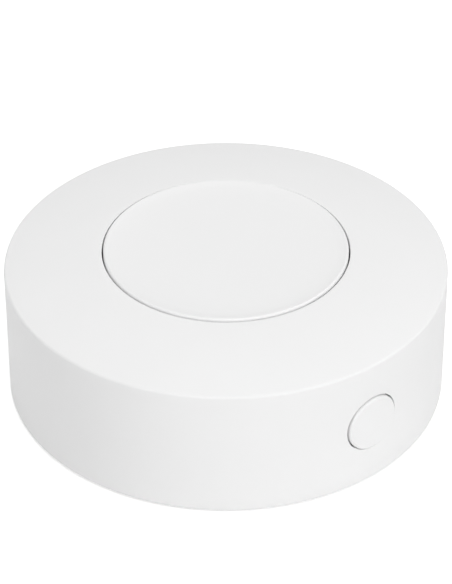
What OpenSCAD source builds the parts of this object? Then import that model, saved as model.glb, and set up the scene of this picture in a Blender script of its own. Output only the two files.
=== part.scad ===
// Round smart button: a low puck with a wide push cap in its domed top, a small push button in
// its side wall, a twist-off battery door underneath and a radio board on a coin cell inside.
// Millimetres, +Z up. The origin is on the surface that the puck stands on, under its centre.
// The side button faces -Y.

/* [Body] */
// Outer diameter of the puck
body_d = 50; // [47:0.5:60]
// Height of the straight side wall
wall_h = 15.6; // [15.2:0.1:19]
// Rise of the domed shoulder from the rim to the cap's aperture
shoulder_rise = 1.8; // [1:0.1:2.6]
// Height of the shoulder's curve over a straight line from the aperture to the rim
shoulder_crown = 0.2; // [0.05:0.05:0.3]
// Thickness of the side wall
wall_t = 2; // [1.6:0.1:2.4]
// Thickness of the domed shoulder
shoulder_t = 2; // [1.6:0.1:2.4]
// Fillet between the shoulder and the side wall
rim_fillet = 0.35; // [0.2:0.05:0.8]
// Fillet at the wall's lower edge
foot_fillet = 0.3; // [0.1:0.05:0.4]
// Fillet round the cap's aperture
aperture_fillet = 0.1; // [0.05:0.05:0.3]
// Depth of the guide collar round the aperture
collar_h = 3.6; // [3:0.1:4]
// Thickness of the guide collar
collar_t = 1.4; // [1:0.1:1.8]

/* [Main button] */
// Diameter of the push cap
button_d = 27.6; // [25:0.2:29]
// Gap all round the push cap
button_gap = 0.17; // [0.15:0.01:0.4]
// Travel of the push cap
button_travel = 0.6; // [0.3:0.05:0.7]
// Thickness of the cap under its dish
cap_t = 1.6; // [1.3:0.1:1.9]
// Thickness of the cap's skirt
skirt_t = 1.4; // [1:0.1:1.8]
// Fillet round the cap's top edge
cap_fillet = 0.25; // [0.15:0.05:0.5]
// Width of the curve between the flat middle of the cap's dish and the lip round it
dish_curve_w = 2.3; // [1.5:0.1:4]
// Slope of the dish where it meets the lip round it
dish_slope = 3; // [1:0.5:6]
// Width of the lip that turns up round the dish
lip_w = 1.2; // [0.3:0.1:1.5]
// Slope of the lip where it meets the cap's edge
lip_slope = 12; // [8:0.5:15]
// Height of the cap's edge above the aperture
cap_proud = 0.2; // [0:0.05:0.3]
// Reach of the cap's flange past the aperture
flange_w = 1.2; // [0.8:0.1:1.5]
// Thickness of the cap's flange
flange_t = 1; // [0.8:0.1:1.3]
// Diameter of the plunger under the cap
plunger_d = 4.4; // [3.6:0.1:5.2]

/* [Return springs] */
// Number of return springs under the cap
spring_count = 3; // [3:1:5]
// Radius of the circle that the springs stand on
spring_ring_r = 9; // [8:0.1:9.6]
// Outer diameter of a spring
spring_d = 3.2; // [2.8:0.1:3.6]
// Diameter of the spring wire
wire_d = 0.35; // [0.25:0.01:0.4]
// Height of the posts that hold a spring's ends
post_h = 0.8; // [0.5:0.1:1]

/* [Bracket] */
// Thickness of the button bracket
bracket_t = 1.2; // [1:0.1:1.4]
// Width of the keys that stop the cap from turning
key_w = 2; // [1.5:0.1:3]
// Height of the keys
key_h = 1.6; // [1.2:0.1:1.7]

/* [Side button] */
// Diameter of the side button
side_d = 6.6; // [5.5:0.1:7.5]
// Gap all round the side button
side_gap = 0.15; // [0.15:0.01:0.3]
// Height that the side button stands out of the wall
side_proud = 0.25; // [0:0.05:0.3]
// Travel of the side button
side_travel = 0.3; // [0.2:0.05:0.4]
// Reach of the side button's flange past its hole
side_flange_w = 0.85; // [0.5:0.05:1]
// Thickness of the side button's flange
side_flange_t = 0.9; // [0.7:0.1:1.1]
// Length of the pin behind the side button
side_pin_l = 1.1; // [0.9:0.1:1.4]

/* [Base] */
// Height that the grip ring holds the puck off the surface
foot_proud = 0.3; // [0.2:0.05:0.5]
// Thickness of the base plate
base_t = 1.6; // [1.5:0.1:2]
// Width of the rebate in the wall that the base plate sits in
rebate_w = 0.8; // [0.6:0.1:1]
// Thickness of the grip ring
grip_t = 0.8; // [0.7:0.05:1]
// Width of the grip ring
grip_w = 6.8; // [5:0.1:7]
// Margin between the grip ring and the base plate's edge
grip_margin = 1.3; // [1.1:0.1:1.6]

/* [Battery door] */
// Angle that the door turns from closed to open
door_turn = 45; // [40:1:50]
// Angle that a bayonet lug spans
lug_angle = 30; // [24:1:32]
// Reach of a bayonet lug past the door's hub
lug_reach = 1.15; // [0.9:0.05:1.3]
// Thickness of a bayonet lug
lug_t = 0.8; // [0.6:0.1:1]
// Thickness of the ledge that the lugs lock behind
ledge_t = 0.8; // [0.6:0.1:0.9]
// Thickness of the door's hub wall round the cell
hub_t = 0.8; // [0.6:0.1:1]
// Length of the coin slot
slot_l = 14; // [10:0.5:17]
// Width of the coin slot
slot_w = 2; // [1.6:0.1:2.4]
// Depth of the coin slot
slot_depth = 0.9; // [0.6:0.1:1]

/* [Battery] */
// Diameter of the coin cell
cell_d = 20; // [18:0.5:21]
// Height of the coin cell
cell_h = 3.2; // [2.5:0.1:3.6]
// Thickness of the cell's sheet steel
cell_steel_t = 0.25; // [0.2:0.01:0.3]
// Width of the cell's seal between can and cap
cell_seal_w = 0.5; // [0.4:0.05:0.8]
// Wall thickness of the battery holder
holder_t = 1.4; // [1.2:0.1:1.8]
// Room between the cell and the board for the sprung contact
contact_h = 0.55; // [0.5:0.05:0.8]
// Thickness of the contact strip
strip_t = 0.2; // [0.15:0.01:0.25]
// Width of a side contact
clip_w = 4; // [3:0.1:5]

/* [Board] */
// Thickness of the circuit board
board_t = 1; // [0.8:0.1:1.2]
// Clearance between the board's edge and the wall
board_gap = 0.6; // [0.4:0.1:1]
// Width of the radio module
module_w = 14; // [12:0.5:15]
// Depth of the radio module
module_l = 10.5; // [9.5:0.5:11]
// Thickness of the radio module's board
module_t = 0.8; // [0.6:0.1:1]
// Height of the radio module's shield can
shield_h = 1.8; // [1.2:0.1:2]
// Sheet thickness of the shield can
shield_t = 0.2; // [0.15:0.01:0.3]
// Number of small chip parts
chip_count = 9; // [4:1:10]

/* [Main switch] */
// Side of the main switch's square body
switch_w = 6.2; // [5.5:0.1:6.5]
// Height of the main switch's body
switch_h = 3.5; // [3.2:0.1:3.6]
// Height of the main switch's stem above the board
stem_h = 5.2; // [4.9:0.1:5.4]
// Diameter of the main switch's stem
stem_d = 3.4; // [3:0.1:3.6]
// Sheet thickness of the switch covers
cover_t = 0.25; // [0.2:0.01:0.3]

/* [Side switch] */
// Width of the side switch's body
side_switch_w = 4.6; // [4:0.1:5.2]
// Depth of the side switch's body
side_switch_l = 2.8; // [2.6:0.1:3.2]
// Height of the side switch's body
side_switch_h = 2.3; // [2.2:0.1:2.8]
// Length of the side switch's stem in front of its body
side_stem_l = 0.9; // [0.7:0.05:1.1]
// Diameter of the side switch's stem
side_stem_d = 1.4; // [1.2:0.1:1.5]

/* [Screws] */
// Diameter of a screw's shank
screw_d = 2; // [1.6:0.1:2.2]
// Diameter of a screw's head
head_d = 3.5; // [3.2:0.1:3.7]
// Height of a screw's head
head_h = 1.2; // [1:0.1:1.3]
// Depth that a board screw bites into its boss
board_bite = 2.6; // [2:0.1:2.8]
// Length of a base screw's shank
base_screw_l = 6; // [4:0.5:7]

/* [Hidden] */
$fn = 96;
arc_steps = 8;
// Clearances: between faces that slide, faces that pass with room, and faces that only meet
slide_gap = 0.1;
free_gap = 0.2;
wide_gap = 0.4;
meet_gap = 0.03;
// Depth that joined solids share, and extra length of a cutter past the face it cuts
overlap = 0.2;
cut = 1;

// Radii of the shell
body_r = body_d / 2;
inner_r = body_r - wall_t;
rebate_r = inner_r + rebate_w;
aperture_r = button_d / 2 + button_gap;
collar_r = aperture_r + collar_t;
cap_r = button_d / 2;
flange_r = aperture_r + flange_w;
skirt_r = cap_r - skirt_t;
bracket_margin = 0.8;
bracket_r = flange_r + bracket_margin;

// Heights of the shell
z_foot = foot_proud;
z_base_top = z_foot + base_t;
z_rim = z_foot + wall_h;
z_shoulder = z_rim + shoulder_rise;
z_collar = z_shoulder - collar_h;

// The shoulder's section is an arc from the aperture's edge to the rim; its centre is off the axis
shoulder_w = body_r - aperture_r;
shoulder_chord = norm([shoulder_w, shoulder_rise]);
dome_r = pow(shoulder_chord, 2) / (8 * shoulder_crown) + shoulder_crown / 2;
aperture_slope = atan(shoulder_rise / shoulder_w) - asin(shoulder_chord / (2 * dome_r));
dome_x0 = aperture_r - dome_r * sin(aperture_slope);
dome_z0 = z_shoulder - dome_r * cos(aperture_slope);
function dome_z(r, inset = 0) = dome_z0 + sqrt(pow(dome_r - inset, 2) - pow(r - dome_x0, 2));

// Push cap
z_cap_rim = z_shoulder + cap_proud;
cap_edge_x = cap_r - cap_fillet;
cap_edge_z = z_cap_rim - cap_fillet;
lip_r = lip_w / (sin(lip_slope) - sin(dish_slope));
lip_x0 = cap_edge_x - (cap_fillet + lip_r) * sin(lip_slope);
lip_z0 = cap_edge_z + (cap_fillet + lip_r) * cos(lip_slope);
dish_end_x = lip_x0 + lip_r * sin(dish_slope);
dish_flat_r = dish_end_x - dish_curve_w;
dish_r = dish_curve_w / sin(dish_slope);
z_dish = lip_z0 - lip_r * cos(dish_slope) - dish_r * (1 - cos(dish_slope));
z_cap_under = z_dish - cap_t;
z_flange = z_collar - slide_gap - flange_t;
travel_reserve = 0.2;
z_bracket = z_flange - button_travel - travel_reserve;
z_bracket_under = z_bracket - bracket_t;

// Battery, from the door up to the board
cell_r = cell_d / 2;
hub_r = cell_r + free_gap + hub_t;
ledge_r = hub_r + slide_gap;
lug_r = hub_r + lug_reach;
door_r = lug_r + slide_gap;
z_ledge = z_base_top - ledge_t;
z_door = z_foot + slide_gap;
z_lug = z_base_top + slide_gap;
z_lug_top = z_lug + lug_t;
z_door_top = z_base_top + free_gap;
z_cell = z_door_top + slide_gap;
z_cell_top = z_cell + cell_h;
z_board = z_cell_top + contact_h;
z_board_top = z_board + board_t;
cell_clear = 0.15;
holder_in_r = cell_r + cell_clear;
holder_r = holder_in_r + holder_t;
z_holder = z_lug_top + free_gap;
clip_r = cell_r + meet_gap;
lug_count = 3;
lug_start = 30;

// Side button, in line with the side switch on the board
side_r = side_d / 2;
side_hole_r = side_r + side_gap;
side_flange_r = side_hole_r + side_flange_w;
side_z = z_board_top + side_switch_h / 2;
side_flange_y = -sqrt(pow(inner_r, 2) - pow(side_flange_r, 2)) + slide_gap;
side_pin_y = side_flange_y + side_flange_t;
side_pin_r = side_switch_h / 2 - free_gap;
side_stem_y = side_pin_y + side_pin_l + meet_gap;
side_switch_y = side_stem_y + side_stem_l;

// Main switch
z_switch_top = z_board_top + switch_h;
z_stem = z_board_top + stem_h;
z_plunger = z_stem + meet_gap;
switch_wall_t = 0.5;
switch_floor_t = 1;
switch_cavity_r = switch_w / 2 - switch_wall_t;
stem_flange_r = switch_cavity_r - slide_gap;
stem_flange_t = 0.7;
z_cavity = z_board_top + switch_floor_t;
z_stem_flange = z_switch_top - cover_t - slide_gap - stem_flange_t;
pin_l = 1.1;
pin_w = 0.9;
pin_t = 0.25;

// Screws and their bosses: four hold the board and bracket, three hold the base plate
screw_r = screw_d / 2;
head_r = head_d / 2;
boss_hole_r = screw_r + meet_gap;
screw_hole_r = screw_r + slide_gap;
board_boss_r = 2.4;
board_boss_inset = 1.1;
board_boss_ring = inner_r - board_boss_r - board_boss_inset;
board_boss_angles = [30, 150, 240, 300];
pillar_r = 2.6;
boss_weld = 0.1;
base_boss_r = pillar_r + free_gap + boss_weld;
base_boss_ring = inner_r - pillar_r - free_gap;
base_boss_angles = [90, 210, 330];
pillar_h = 1.5;
z_pillar = z_base_top + pillar_h;

// Base plate and grip ring
base_r = rebate_r - slide_gap;
grip_r = base_r - grip_margin;
grip_in_r = grip_r - grip_w;
z_groove = grip_t;
z_base_head = z_groove + slide_gap;

// Board
board_r = inner_r - board_gap;
board_front = side_pin_y + side_travel + wide_gap;
board_front_w = 2 * (side_flange_r + wide_gap);

// Points along an arc
function arc(c, r, a0, a1, n = arc_steps) =
    [for (i = [0:n]) let (a = a0 + (a1 - a0) * i / n) c + r * [cos(a), sin(a)]];

// Angle of a point on the shoulder, seen from the centre of its arc
function dome_angle(r, inset = 0) = acos((r - dome_x0) / (dome_r - inset));

module ring(r_out, r_in, h) {
    difference() {
        cylinder(r = r_out, h = h);
        translate([0, 0, -cut]) cylinder(r = r_in, h = h + 2 * cut);
    }
}

// A sector of a ring, centred on angle zero
module ring_sector(r_out, r_in, h, angle) {
    rotate([0, 0, -angle / 2])
        rotate_extrude(angle = angle)
            translate([r_in, 0]) square([r_out - r_in, h]);
}

// Copies the children round the Z axis at the listed angles
module around(angles, r) {
    for (a = angles) rotate([0, 0, a]) translate([r, 0, 0]) children();
}

// A cylinder that points along +Y from the plane y, at the side button's height
module side_rod(r, y, l) {
    translate([0, y, side_z]) rotate([-90, 0, 0]) cylinder(r = r, h = l);
}

module box(w, l, h) {
    translate([-w / 2, -l / 2, 0]) cube([w, l, h]);
}

// Upper shell: side wall, domed shoulder and guide collar in one turned section
module housing_section() {
    rim_c = [body_r - rim_fillet, dome_z(body_r - rim_fillet, rim_fillet)];
    aperture_c = [aperture_r + aperture_fillet, dome_z(aperture_r + aperture_fillet, aperture_fillet)];
    rim_a = dome_angle(rim_c[0], rim_fillet);
    aperture_a = dome_angle(aperture_c[0], aperture_fillet);
    foot_c = [body_r - foot_fillet, z_foot + foot_fillet];
    polygon(concat(
        [[aperture_r, z_collar]],
        arc(aperture_c, aperture_fillet, 180, aperture_a),
        arc([dome_x0, dome_z0], dome_r, aperture_a, rim_a, 3 * arc_steps),
        arc(rim_c, rim_fillet, rim_a, 0),
        arc(foot_c, foot_fillet, 0, -90),
        [[rebate_r, z_foot], [rebate_r, z_base_top], [inner_r, z_base_top]],
        arc([dome_x0, dome_z0], dome_r - shoulder_t, dome_angle(inner_r, shoulder_t),
            dome_angle(collar_r, shoulder_t), 2 * arc_steps),
        [[collar_r, z_collar]]
    ));
}

module boss(r, ring_r, z0) {
    translate([0, 0, z0])
        cylinder(r = r, h = dome_z(ring_r + r) - shoulder_t / 4 - z0);
}

module top_housing() {
    color("white") difference() {
        union() {
            rotate_extrude() housing_section();
            around(board_boss_angles, board_boss_ring) boss(board_boss_r, board_boss_ring, z_bracket);
            around(base_boss_angles, base_boss_ring) boss(base_boss_r, base_boss_ring, z_pillar);
        }
        around(board_boss_angles, board_boss_ring)
            translate([0, 0, z_bracket - cut]) cylinder(r = boss_hole_r, h = board_bite + free_gap + cut);
        around(base_boss_angles, base_boss_ring)
            translate([0, 0, z_pillar - cut]) cylinder(r = boss_hole_r, h = base_screw_l + cut);
        side_rod(side_hole_r, -body_r - cut, wall_t + 2 * cut);
    }
}

// Closing plate with the door's opening, bayonet ledge, screw pillars and the grip ring's groove
module base_plate() {
    play_angle = 2;
    notch_angle = lug_angle + 2 * play_angle;
    stop_angle = 5;
    stop_r = lug_r + slide_gap + 1;
    color("white") difference() {
        union() {
            translate([0, 0, z_foot]) cylinder(r = base_r, h = base_t);
            around(base_boss_angles, base_boss_ring)
                translate([0, 0, z_base_top - overlap]) cylinder(r = pillar_r, h = pillar_h + overlap);
            for (a = [-notch_angle / 2 - stop_angle, door_turn + lug_angle / 2 + stop_angle])
                rotate([0, 0, lug_start - door_turn + a])
                    translate([0, 0, z_base_top - overlap])
                        ring_sector(stop_r, ledge_r + overlap, lug_t + overlap, stop_angle);
        }
        translate([0, 0, z_foot - cut]) cylinder(r = door_r + slide_gap, h = z_ledge - z_foot + cut);
        translate([0, 0, z_foot]) cylinder(r = ledge_r, h = base_t + lug_t + cut);
        for (i = [0:lug_count - 1])
            rotate([0, 0, lug_start - door_turn + i * 360 / lug_count])
                translate([0, 0, z_foot])
                    ring_sector(lug_r + slide_gap, ledge_r - overlap, base_t + cut, notch_angle);
        translate([0, 0, z_foot - cut])
            ring(grip_r + slide_gap, grip_in_r - slide_gap, z_groove - z_foot + cut);
        around(base_boss_angles, base_boss_ring) {
            translate([0, 0, z_foot]) cylinder(r = head_r + free_gap, h = z_base_head + head_h - z_foot);
            translate([0, 0, z_foot]) cylinder(r = screw_hole_r, h = z_pillar);
        }
    }
}

// Soft ring that the puck stands on
module grip_ring() {
    edge = grip_t / 4;
    color("gainsboro") rotate_extrude() polygon(concat(
        arc([grip_in_r + edge, edge], edge, 270, 180, 4),
        [[grip_in_r, grip_t], [grip_r, grip_t]],
        arc([grip_r - edge, edge], edge, 0, -90, 4)
    ));
}

// Twist-off door: outer disc, hub that passes the ledge, bayonet lugs and coin slot
module battery_door() {
    color("white") difference() {
        union() {
            translate([0, 0, z_door]) cylinder(r = door_r, h = z_ledge - slide_gap - z_door);
            translate([0, 0, z_door]) cylinder(r = hub_r, h = z_door_top - z_door);
            translate([0, 0, z_door]) ring(hub_r, hub_r - hub_t, z_lug_top - z_door);
            for (i = [0:lug_count - 1])
                rotate([0, 0, lug_start + i * 360 / lug_count])
                    translate([0, 0, z_lug]) ring_sector(lug_r, hub_r - hub_t / 2, lug_t, lug_angle);
        }
        translate([0, 0, z_door - cut]) box(slot_l - slot_w, slot_w, slot_depth + cut);
        for (side = [-1, 1])
            translate([side * (slot_l - slot_w) / 2, 0, z_door - cut])
                cylinder(d = slot_w, h = slot_depth + cut);
    }
}

// Push cap: dished top, skirt in the collar, flange that stops it from lifting out, and plunger
module cap_section() {
    edge_c = [cap_edge_x, cap_edge_z];
    polygon(concat(
        [[0, z_dish]],
        arc([dish_flat_r, z_dish + dish_r], dish_r, 270, 270 + dish_slope),
        arc([lip_x0, lip_z0], lip_r, 270 + dish_slope, 270 + lip_slope),
        arc(edge_c, cap_fillet, 90 + lip_slope, 0),
        [
            [cap_r, z_flange + flange_t], [flange_r, z_flange + flange_t], [flange_r, z_flange],
            [skirt_r, z_flange], [skirt_r, z_cap_under], [0, z_cap_under]
        ]
    ));
}

spring_angles = [for (i = [0:spring_count - 1]) 90 + i * 360 / spring_count];
spring_mean_r = (spring_d - wire_d) / 2;
post_r = spring_mean_r - wire_d / 2 - free_gap;
key_angles = [0, 180];
key_in_r = cap_r + wide_gap;

module main_button_cap() {
    color("white") difference() {
        union() {
            rotate_extrude() cap_section();
            translate([0, 0, z_plunger]) cylinder(d = plunger_d, h = z_cap_under - z_plunger + overlap);
            around(spring_angles, spring_ring_r)
                translate([0, 0, z_cap_under - post_h]) cylinder(r = post_r, h = post_h + overlap);
        }
        around(key_angles, key_in_r)
            translate([0, -key_w / 2 - free_gap, z_flange - cut])
                cube([flange_w + cut, key_w + 2 * free_gap, flange_t + cut + slide_gap / 2]);
    }
}

// Plate under the cap: carries the return springs and keys, and is clamped between board and bosses
module button_bracket() {
    window_r = switch_w / sqrt(2) + wide_gap;
    sleeve_r = board_boss_r - free_gap;
    color("whitesmoke") difference() {
        union() {
            translate([0, 0, z_bracket_under]) cylinder(r = bracket_r, h = bracket_t);
            for (a = board_boss_angles) rotate([0, 0, a]) {
                translate([0, -sleeve_r, z_bracket_under])
                    cube([board_boss_ring, 2 * sleeve_r, bracket_t]);
                translate([board_boss_ring, 0, z_board_top])
                    cylinder(r = sleeve_r, h = z_bracket - z_board_top);
            }
            around(spring_angles, spring_ring_r)
                translate([0, 0, z_bracket - overlap]) cylinder(r = post_r, h = post_h + overlap);
            around(key_angles, key_in_r + free_gap)
                translate([0, -key_w / 2, z_bracket - overlap])
                    cube([bracket_r - key_in_r - 2 * free_gap, key_w, key_h + overlap]);
        }
        translate([0, 0, z_bracket_under - cut]) cylinder(r = window_r, h = bracket_t + 2 * cut);
        around(board_boss_angles, board_boss_ring)
            translate([0, 0, z_board_top - cut])
                cylinder(r = screw_hole_r, h = z_bracket - z_board_top + 2 * cut);
        around(base_boss_angles, base_boss_ring)
            translate([0, 0, z_bracket_under - cut])
                cylinder(r = base_boss_r + wide_gap, h = bracket_t + 2 * cut);
    }
}

// Coil springs, each one unbroken tube of six sides that climbs from the bracket to the cap
spring_rise = z_cap_under - z_bracket - wire_d - 2 * meet_gap;
least_turn_gap = 0.45;
spring_turns = floor(spring_rise / (wire_d + least_turn_gap));
coil_rings = 8;
wire_sides = 6;

function coil_point(t) = [
    spring_mean_r * cos(360 * t), spring_mean_r * sin(360 * t), spring_rise * t / spring_turns
];
function coil_ring(t) =
    let (
        out = [cos(360 * t), sin(360 * t), 0],
        along = [-sin(360 * t), cos(360 * t), spring_rise / (spring_turns * 2 * PI * spring_mean_r)],
        up = cross(out, along / norm(along))
    )
    [for (k = [0:wire_sides - 1]) let (a = 360 * k / wire_sides)
        coil_point(t) + wire_d / 2 * (cos(a) * out + sin(a) * up)];
function tube_faces(rings, n) = concat(
    [for (k = [1:n - 2]) [0, k, k + 1]],
    [for (k = [1:n - 2]) let (e = (rings - 1) * n) [e, e + k + 1, e + k]],
    [for (i = [0:rings - 2], k = [0:n - 1])
        let (a = i * n + k, b = i * n + (k + 1) % n) each [[a, a + n, b], [b, a + n, b + n]]]
);

coil_steps = spring_turns * coil_rings;
coil_points = [for (i = [0:coil_steps]) coil_point(i / coil_rings)];
coil_gap = min([
    for (i = [0:coil_steps], j = [i + coil_rings / 2:1:coil_steps]) norm(coil_points[i] - coil_points[j])
]) - wire_d;
echo(spring_turns = spring_turns, least_gap_between_turns = coil_gap);

module coil_spring() {
    polyhedron(
        points = [for (i = [0:coil_steps]) each coil_ring(i / coil_rings)],
        faces = tube_faces(coil_steps + 1, wire_sides)
    );
}

module return_springs() {
    color("silver") around(spring_angles, spring_ring_r)
        translate([0, 0, z_bracket + wire_d / 2 + meet_gap]) coil_spring();
}

// Small button in the side wall, its face curved like the wall, with a flange and pin behind it
module side_button_cap() {
    color("white") union() {
        intersection() {
            side_rod(side_r, -body_r - cut, side_flange_y + body_r + cut + overlap);
            cylinder(r = body_r + side_proud, h = z_rim);
        }
        side_rod(side_flange_r, side_flange_y, side_flange_t);
        side_rod(side_pin_r, side_pin_y - overlap, side_pin_l + overlap);
    }
}

// Round board with notches for the base plate's bosses and a flat for the side button
module circuit_board() {
    color("seagreen") translate([0, 0, z_board]) difference() {
        cylinder(r = board_r, h = board_t);
        around(base_boss_angles, base_boss_ring)
            translate([0, 0, -cut]) cylinder(r = base_boss_r + wide_gap, h = board_t + 2 * cut);
        around(board_boss_angles, board_boss_ring)
            translate([0, 0, -cut]) cylinder(r = screw_hole_r, h = board_t + 2 * cut);
        translate([-board_front_w / 2, board_front - board_r, -cut])
            cube([board_front_w, board_r, board_t + 2 * cut]);
    }
}

// Main switch, under the plunger at the board's centre
module main_switch_base() {
    color("dimgray") difference() {
        translate([0, 0, z_board_top]) box(switch_w, switch_w, switch_h - cover_t);
        translate([0, 0, z_cavity]) cylinder(r = switch_cavity_r, h = switch_h);
    }
}

module main_switch_cover() {
    tab_l = switch_h / 2;
    tab_w = switch_w - 2 * switch_wall_t;
    color("silver") difference() {
        union() {
            translate([0, 0, z_switch_top - cover_t]) box(switch_w + 2 * cover_t, tab_w, cover_t);
            for (side = [-1, 1])
                translate([side * (switch_w + cover_t) / 2, 0, z_switch_top - tab_l])
                    box(cover_t, tab_w, tab_l);
        }
        translate([0, 0, z_switch_top - cut]) cylinder(d = stem_d + 2 * slide_gap, h = 2 * cut);
    }
}

// Snap dome: a thin shell between the cavity's floor and the stem
module main_switch_dome() {
    shell_t = 0.12;
    rise = z_stem_flange - z_cavity - meet_gap;
    foot_r = stem_flange_r - slide_gap;
    crown_r = (pow(foot_r, 2) + pow(rise, 2)) / (2 * rise);
    crown_c = [0, z_cavity + rise - crown_r];
    foot_a = asin((crown_r - rise) / crown_r);
    inner_a = asin((crown_r - rise) / (crown_r - shell_t));
    color("silver") rotate_extrude() polygon(concat(
        arc(crown_c, crown_r, foot_a, 90),
        arc(crown_c, crown_r - shell_t, 90, inner_a)
    ));
}

module main_switch_stem() {
    color("black") translate([0, 0, z_stem_flange]) {
        cylinder(r = stem_flange_r, h = stem_flange_t);
        cylinder(d = stem_d, h = z_stem - z_stem_flange);
    }
}

// Solder tabs at two sides of a switch
module solder_tabs(half_w, pitch) {
    for (x = [-1, 1], y = [-1, 1])
        translate([x * (half_w + meet_gap + pin_l / 2), y * pitch / 2, z_board_top])
            box(pin_l, pin_w, pin_t);
}

module main_switch_pins() {
    color("silver") solder_tabs(switch_w / 2, switch_w - 2 * pin_w);
}

// Side switch, behind the side button at the board's front edge
side_wall_t = 0.25;
side_floor_t = 0.8;
side_cavity_r = side_switch_h / 2 - side_wall_t;
side_cavity_l = side_switch_l - side_floor_t;
side_stem_flange_t = 0.5;

module side_switch_base() {
    color("dimgray") difference() {
        translate([0, side_switch_y + side_switch_l / 2, z_board_top])
            box(side_switch_w, side_switch_l, side_switch_h);
        side_rod(side_cavity_r, side_switch_y - cut, side_cavity_l + cut);
    }
}

module side_switch_cover() {
    color("silver") difference() {
        translate([0, side_switch_y - cover_t / 2, z_board_top + meet_gap])
            box(side_switch_w, cover_t, side_switch_h - meet_gap);
        side_rod(side_stem_d / 2 + slide_gap, side_switch_y - cover_t - cut, cover_t + 2 * cut);
    }
}

module side_switch_stem() {
    color("black") union() {
        side_rod(side_stem_d / 2, side_stem_y, side_stem_l + slide_gap + side_stem_flange_t);
        side_rod(side_cavity_r - slide_gap, side_switch_y + slide_gap, side_stem_flange_t);
    }
}

module side_switch_pins() {
    color("silver") translate([0, side_switch_y + side_switch_l / 2, 0])
        solder_tabs(side_switch_w / 2, side_switch_l - pin_w);
}

// Radio module behind the main switch: its own small board, chip, shield can, antenna and crystal
module_from_switch = 2.2;
module_y = switch_w / 2 + module_from_switch + module_l / 2;
z_module_top = z_board_top + module_t;
antenna_strip_w = 4.4;
shield_margin = 0.6;
shield_w = module_w - antenna_strip_w - shield_margin;
shield_l = module_l - 4 * shield_margin;
shield_x = (shield_w - module_w) / 2 + shield_margin;
radio_chip_w = shield_w / 2;
crystal_w = 1.6;
crystal_l = 2;
crystal_h = 0.5;
antenna_w = 1.6;
antenna_l = 6.5;
antenna_h = 1;

module on_module(x, y) {
    translate([x, module_y + y, z_module_top]) children();
}

module radio_module_board() {
    color("darkgreen") translate([0, module_y, z_board_top]) box(module_w, module_l, module_t);
}

module radio_shield_can() {
    color("silver") on_module(shield_x, 0) difference() {
        box(shield_w, shield_l, shield_h);
        translate([0, 0, -cut])
            box(shield_w - 2 * shield_t, shield_l - 2 * shield_t, shield_h - shield_t + cut);
    }
}

module radio_chip() {
    color("dimgray") on_module(shield_x - shield_w / 8, 0) box(radio_chip_w, radio_chip_w, shield_h / 2);
}

module crystal_can() {
    color("silver") on_module(shield_x + shield_w / 3, 0) box(crystal_w, crystal_l, crystal_h);
}

module chip_antenna() {
    color("ivory") on_module(module_w / 2 - antenna_w, 0) box(antenna_w, antenna_l, antenna_h);
}

// Loose parts on the board: small chips in an arc, a reservoir capacitor and the status light
parts_ring_r = 12.6;
chips_start = 165;
chips_step = 6.5;
chip_w = 0.8;
chip_l = 1;
chip_h = 0.6;
capacitor_at = 335;
capacitor_w = 2.8;
capacitor_l = 3.5;
capacitor_h = 1.9;
led_at = 285;
led_w = 0.8;
led_l = 1.6;
led_h = 0.6;

module on_board(angle, r) {
    rotate([0, 0, angle]) translate([r, 0, z_board_top]) children();
}

module chip_parts() {
    color("burlywood") for (i = [0:chip_count - 1])
        on_board(chips_start + i * chips_step, parts_ring_r) box(chip_w, chip_l, chip_h);
}

module reservoir_capacitor() {
    color("goldenrod") on_board(capacitor_at, parts_ring_r) box(capacitor_w, capacitor_l, capacitor_h);
}

module status_led() {
    color("lightyellow") on_board(led_at, parts_ring_r) box(led_w, led_l, led_h);
}

// Battery holder under the board, with windows for the side contacts
clip_angles = [60, 240];
hoop_h = 0.6;
z_clip = z_holder + hoop_h + free_gap;

module battery_holder() {
    window_w = clip_w + 2 * free_gap;
    color("dimgray") difference() {
        translate([0, 0, z_holder]) ring(holder_r, holder_in_r, z_board - z_holder);
        for (a = clip_angles) rotate([0, 0, a])
            translate([0, -window_w / 2, z_holder + hoop_h])
                cube([holder_r + cut, window_w, z_board - z_holder]);
    }
}

module battery_side_clips() {
    foot_l = 2;
    color("gold") for (a = clip_angles) rotate([0, 0, a]) {
        translate([clip_r, -clip_w / 2, z_clip]) cube([strip_t, clip_w, z_board - z_clip]);
        translate([clip_r, -clip_w / 2, z_board - strip_t]) cube([foot_l, clip_w, strip_t]);
    }
}

// Three sprung fingers that press on the cell's cap
module battery_spring_contact() {
    finger_w = 1.6;
    finger_in = 2;
    finger_out = cell_r / 2;
    tip_l = 1;
    z_touch = z_cell_top + meet_gap;
    color("gold") union() {
        for (a = [0, 120, 240]) rotate([90, 0, a]) translate([0, 0, -finger_w / 2])
            linear_extrude(finger_w) polygon([
                [finger_in, z_board - strip_t], [finger_out - tip_l, z_touch], [finger_out, z_touch],
                [finger_out, z_touch + strip_t], [finger_out - tip_l + strip_t / 2, z_touch + strip_t],
                [finger_in + strip_t, z_board], [finger_in - overlap, z_board],
                [finger_in - overlap, z_board - strip_t]
            ]);
        translate([0, 0, z_board - strip_t]) cylinder(r = finger_in, h = strip_t);
    }
}

// Coin cell: steel can, seal ring, steel cap facing the board, and the core inside
cell_lip = 2 * cell_steel_t;
cell_cap_r = cell_r - cell_lip - cell_seal_w;
cell_cap_lift = 0.4;

module coin_cell_can() {
    color("silver") rotate_extrude() polygon([
        [0, z_cell], [cell_r - cell_steel_t, z_cell], [cell_r, z_cell + cell_steel_t],
        [cell_r, z_cell_top - cell_lip], [cell_r - cell_lip, z_cell_top - cell_steel_t / 2],
        [cell_r - cell_lip, z_cell_top - cell_steel_t - cell_lip / 2],
        [cell_r - cell_steel_t, z_cell_top - cell_lip - cell_steel_t],
        [cell_r - cell_steel_t, z_cell + cell_steel_t], [0, z_cell + cell_steel_t]
    ]);
}

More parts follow.
